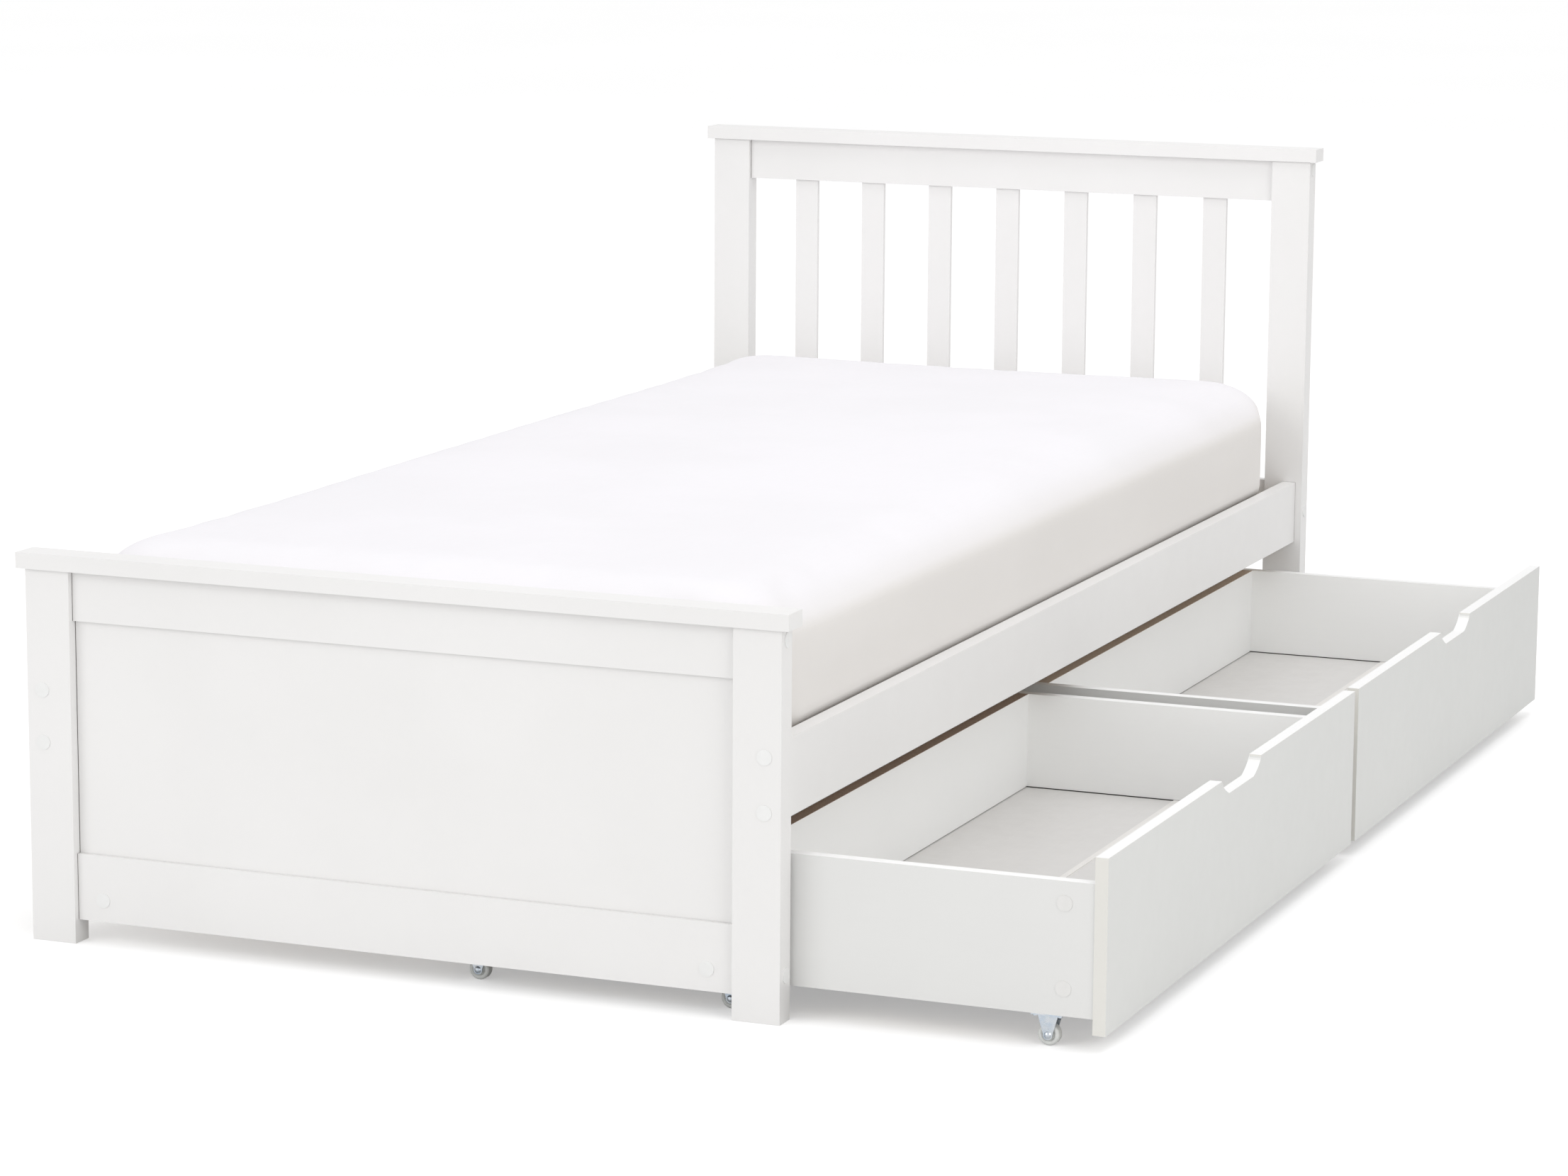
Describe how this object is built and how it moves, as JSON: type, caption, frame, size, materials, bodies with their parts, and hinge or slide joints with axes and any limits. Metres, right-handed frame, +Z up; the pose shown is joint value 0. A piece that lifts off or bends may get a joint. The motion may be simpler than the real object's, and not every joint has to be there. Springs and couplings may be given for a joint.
{
  "type": "bed frame",
  "caption": "Single bed frame in white lacquered board: slatted headboard, panelled footboard, slatted base with mattress, and deep wheeled drawers that roll out from under one side.",
  "frame": {"origin": "middle of the outline on the floor, with the drawers rolled out 380 mm", "axes": "+X the side the drawers come out of, +Y towards the headboard, +Z up"},
  "size_m": [1.34, 2.094, 0.817],
  "materials": {
    "white_lacquer": "smooth white lacquer, satin",
    "drawer_board": "white foil-faced board, with raw brown upper edges on the back and the divider",
    "pine": "planed, unfinished",
    "zinc_steel": "bright zinc plated",
    "wheel_plastic": "light grey, slightly rough",
    "cap_plastic": "white, satin",
    "webbing_tape": "woven flat tape",
    "cotton_sheet": "woven white cotton, matt"
  },
  "bodies": {
    "bed": {"headboard_post_left": "white_lacquer", "headboard_post_right": "white_lacquer", "headboard_cap": "white_lacquer", "headboard_top_rail": "white_lacquer", "headboard_bottom_rail": "white_lacquer", "headboard_slats": "white_lacquer", "footboard_post_left": "white_lacquer", "footboard_post_right": "white_lacquer", "footboard_cap": "white_lacquer", "footboard_top_rail": "white_lacquer", "footboard_panel": "white_lacquer", "footboard_bottom_rail": "white_lacquer", "side_rail_left": "white_lacquer", "side_rail_right": "white_lacquer", "slat_ledger_left": "pine", "slat_ledger_right": "pine", "base_slats": "pine", "slat_webbing": "webbing_tape", "base_screws": "zinc_steel", "frame_bolts": "zinc_steel", "barrel_nuts": "zinc_steel", "dowels": "pine", "cover_caps": "cap_plastic"},
    "mattress": {"mattress": "cotton_sheet"},
    "drawer_foot": {"drawer_foot_front": "white_lacquer", "drawer_foot_side_near": "drawer_board", "drawer_foot_side_far": "drawer_board", "drawer_foot_back": "drawer_board", "drawer_foot_divider": "drawer_board", "drawer_foot_bottom": "drawer_board", "drawer_foot_joint_strip": "cap_plastic", "drawer_foot_runners": "pine", "drawer_foot_caster_brackets": "zinc_steel", "drawer_foot_axles": "zinc_steel", "drawer_foot_fasteners": "zinc_steel", "drawer_foot_cover_caps": "cap_plastic"},
    "drawer_head": {"drawer_head_front": "white_lacquer", "drawer_head_side_near": "drawer_board", "drawer_head_side_far": "drawer_board", "drawer_head_back": "drawer_board", "drawer_head_divider": "drawer_board", "drawer_head_bottom": "drawer_board", "drawer_head_joint_strip": "cap_plastic", "drawer_head_runners": "pine", "drawer_head_caster_brackets": "zinc_steel", "drawer_head_axles": "zinc_steel", "drawer_head_fasteners": "zinc_steel", "drawer_head_cover_caps": "cap_plastic"},
    "drawer_foot_wheel_1": {"drawer_foot_wheel_1": "wheel_plastic"},
    "drawer_foot_wheel_2": {"drawer_foot_wheel_2": "wheel_plastic"},
    "drawer_foot_wheel_3": {"drawer_foot_wheel_3": "wheel_plastic"},
    "drawer_foot_wheel_4": {"drawer_foot_wheel_4": "wheel_plastic"},
    "drawer_foot_wheel_5": {"drawer_foot_wheel_5": "wheel_plastic"},
    "drawer_foot_wheel_6": {"drawer_foot_wheel_6": "wheel_plastic"},
    "drawer_head_wheel_1": {"drawer_head_wheel_1": "wheel_plastic"},
    "drawer_head_wheel_2": {"drawer_head_wheel_2": "wheel_plastic"},
    "drawer_head_wheel_3": {"drawer_head_wheel_3": "wheel_plastic"},
    "drawer_head_wheel_4": {"drawer_head_wheel_4": "wheel_plastic"},
    "drawer_head_wheel_5": {"drawer_head_wheel_5": "wheel_plastic"},
    "drawer_head_wheel_6": {"drawer_head_wheel_6": "wheel_plastic"}
  },
  "joints": [
    {"name": "drawer_foot_slide", "type": "slide", "parent": "bed", "child": "drawer_foot", "axis": [1, 0, 0], "range_m": [-0.38, 0.42]},
    {"name": "drawer_head_slide", "type": "slide", "parent": "bed", "child": "drawer_head", "axis": [1, 0, 0], "range_m": [-0.38, 0.42]},
    {"name": "drawer_foot_wheel_1_spin", "type": "hinge", "parent": "drawer_foot", "child": "drawer_foot_wheel_1", "pos_m": [-0.093, -0.992, 0.0125], "axis": [0, 1, 0], "continuous": true},
    {"name": "drawer_foot_wheel_2_spin", "type": "hinge", "parent": "drawer_foot", "child": "drawer_foot_wheel_2", "pos_m": [0.223, -0.992, 0.0125], "axis": [0, 1, 0], "continuous": true},
    {"name": "drawer_foot_wheel_3_spin", "type": "hinge", "parent": "drawer_foot", "child": "drawer_foot_wheel_3", "pos_m": [0.601, -0.992, 0.0125], "axis": [0, 1, 0], "continuous": true},
    {"name": "drawer_foot_wheel_4_spin", "type": "hinge", "parent": "drawer_foot", "child": "drawer_foot_wheel_4", "pos_m": [-0.093, -0.06, 0.0125], "axis": [0, 1, 0], "continuous": true},
    {"name": "drawer_foot_wheel_5_spin", "type": "hinge", "parent": "drawer_foot", "child": "drawer_foot_wheel_5", "pos_m": [0.223, -0.06, 0.0125], "axis": [0, 1, 0], "continuous": true},
    {"name": "drawer_foot_wheel_6_spin", "type": "hinge", "parent": "drawer_foot", "child": "drawer_foot_wheel_6", "pos_m": [0.601, -0.06, 0.0125], "axis": [0, 1, 0], "continuous": true},
    {"name": "drawer_head_wheel_1_spin", "type": "hinge", "parent": "drawer_head", "child": "drawer_head_wheel_1", "pos_m": [-0.093, 0.018, 0.0125], "axis": [0, 1, 0], "continuous": true},
    {"name": "drawer_head_wheel_2_spin", "type": "hinge", "parent": "drawer_head", "child": "drawer_head_wheel_2", "pos_m": [0.223, 0.018, 0.0125], "axis": [0, 1, 0], "continuous": true},
    {"name": "drawer_head_wheel_3_spin", "type": "hinge", "parent": "drawer_head", "child": "drawer_head_wheel_3", "pos_m": [0.601, 0.018, 0.0125], "axis": [0, 1, 0], "continuous": true},
    {"name": "drawer_head_wheel_4_spin", "type": "hinge", "parent": "drawer_head", "child": "drawer_head_wheel_4", "pos_m": [-0.093, 0.95, 0.0125], "axis": [0, 1, 0], "continuous": true},
    {"name": "drawer_head_wheel_5_spin", "type": "hinge", "parent": "drawer_head", "child": "drawer_head_wheel_5", "pos_m": [0.223, 0.95, 0.0125], "axis": [0, 1, 0], "continuous": true},
    {"name": "drawer_head_wheel_6_spin", "type": "hinge", "parent": "drawer_head", "child": "drawer_head_wheel_6", "pos_m": [0.601, 0.95, 0.0125], "axis": [0, 1, 0], "continuous": true},
    {"name": "mattress_lift", "type": "slide", "parent": "bed", "child": "mattress", "axis": [0, 0, 1], "range_m": [0, 0.45]}
  ],
  "couplings": [
    {"joint": "drawer_foot_wheel_1_spin", "follows": "drawer_foot_slide", "rad_per_m": 80},
    {"joint": "drawer_foot_wheel_2_spin", "follows": "drawer_foot_slide", "rad_per_m": 80},
    {"joint": "drawer_foot_wheel_3_spin", "follows": "drawer_foot_slide", "rad_per_m": 80},
    {"joint": "drawer_foot_wheel_4_spin", "follows": "drawer_foot_slide", "rad_per_m": 80},
    {"joint": "drawer_foot_wheel_5_spin", "follows": "drawer_foot_slide", "rad_per_m": 80},
    {"joint": "drawer_foot_wheel_6_spin", "follows": "drawer_foot_slide", "rad_per_m": 80},
    {"joint": "drawer_head_wheel_1_spin", "follows": "drawer_head_slide", "rad_per_m": 80},
    {"joint": "drawer_head_wheel_2_spin", "follows": "drawer_head_slide", "rad_per_m": 80},
    {"joint": "drawer_head_wheel_3_spin", "follows": "drawer_head_slide", "rad_per_m": 80},
    {"joint": "drawer_head_wheel_4_spin", "follows": "drawer_head_slide", "rad_per_m": 80},
    {"joint": "drawer_head_wheel_5_spin", "follows": "drawer_head_slide", "rad_per_m": 80},
    {"joint": "drawer_head_wheel_6_spin", "follows": "drawer_head_slide", "rad_per_m": 80}
  ]
}
